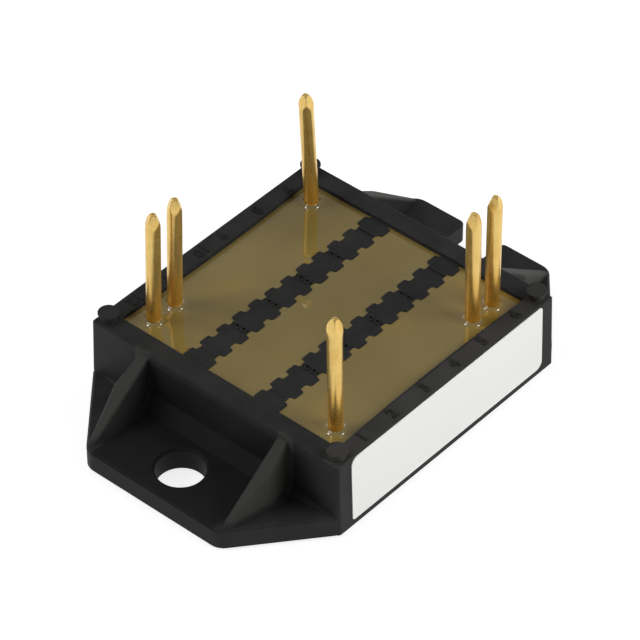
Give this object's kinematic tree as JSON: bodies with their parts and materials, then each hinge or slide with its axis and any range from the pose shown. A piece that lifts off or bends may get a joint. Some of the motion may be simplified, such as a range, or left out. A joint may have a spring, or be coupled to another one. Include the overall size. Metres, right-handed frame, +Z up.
{
  "type": "dual thyristor module",
  "caption": "Low black power module with two mounting ears, gel-filled frame with toothed dividing bars and upright gold pins for a circuit board.",
  "frame": {"origin": "centre of the cooling face on the underside", "axes": "+Z up along the pins, +X towards the ear with the open slot, -Y towards the label wall"},
  "size_m": [0.0494, 0.0319, 0.0223],
  "materials": {
    "housing": "black glass-filled moulding, fine matte texture",
    "label": "blank white label",
    "gel": "glossy brown-gold potting",
    "pin": "thin gold plating",
    "copper": "bare copper layer",
    "ceramic": "unglazed white",
    "adhesive": "grey sealing bead",
    "solder": "dull grey solder",
    "chip": "polished dark chip",
    "wire": "bright bond wire"
  },
  "bodies": {
    "root": {"housing": "housing", "label": "label", "gel": "gel", "base_copper": "copper", "ceramic_plate": "ceramic", "adhesive_bead": "adhesive", "pin_supply": "pin", "pin_middle": "pin", "pin_return": "pin", "pin_gate_1": "pin", "pin_gate_2": "pin", "pin_auxiliary": "pin", "track_supply": "copper", "track_middle": "copper", "track_return": "copper", "track_gate_1": "copper", "track_gate_2": "copper", "track_auxiliary": "copper", "pin_solder_supply": "solder", "pin_solder_middle": "solder", "pin_solder_return": "solder", "pin_solder_gate_1": "solder", "pin_solder_gate_2": "solder", "pin_solder_auxiliary": "solder", "chip_solder_1": "solder", "chip_solder_2": "solder", "chip_1": "chip", "chip_2": "chip", "main_wire_1_1": "wire", "main_wire_1_2": "wire", "main_wire_1_3": "wire", "main_wire_1_4": "wire", "main_wire_2_1": "wire", "main_wire_2_2": "wire", "main_wire_2_3": "wire", "main_wire_2_4": "wire", "gate_wire_1": "wire", "gate_wire_2": "wire", "auxiliary_wire": "wire"}
  },
  "joints": []
}
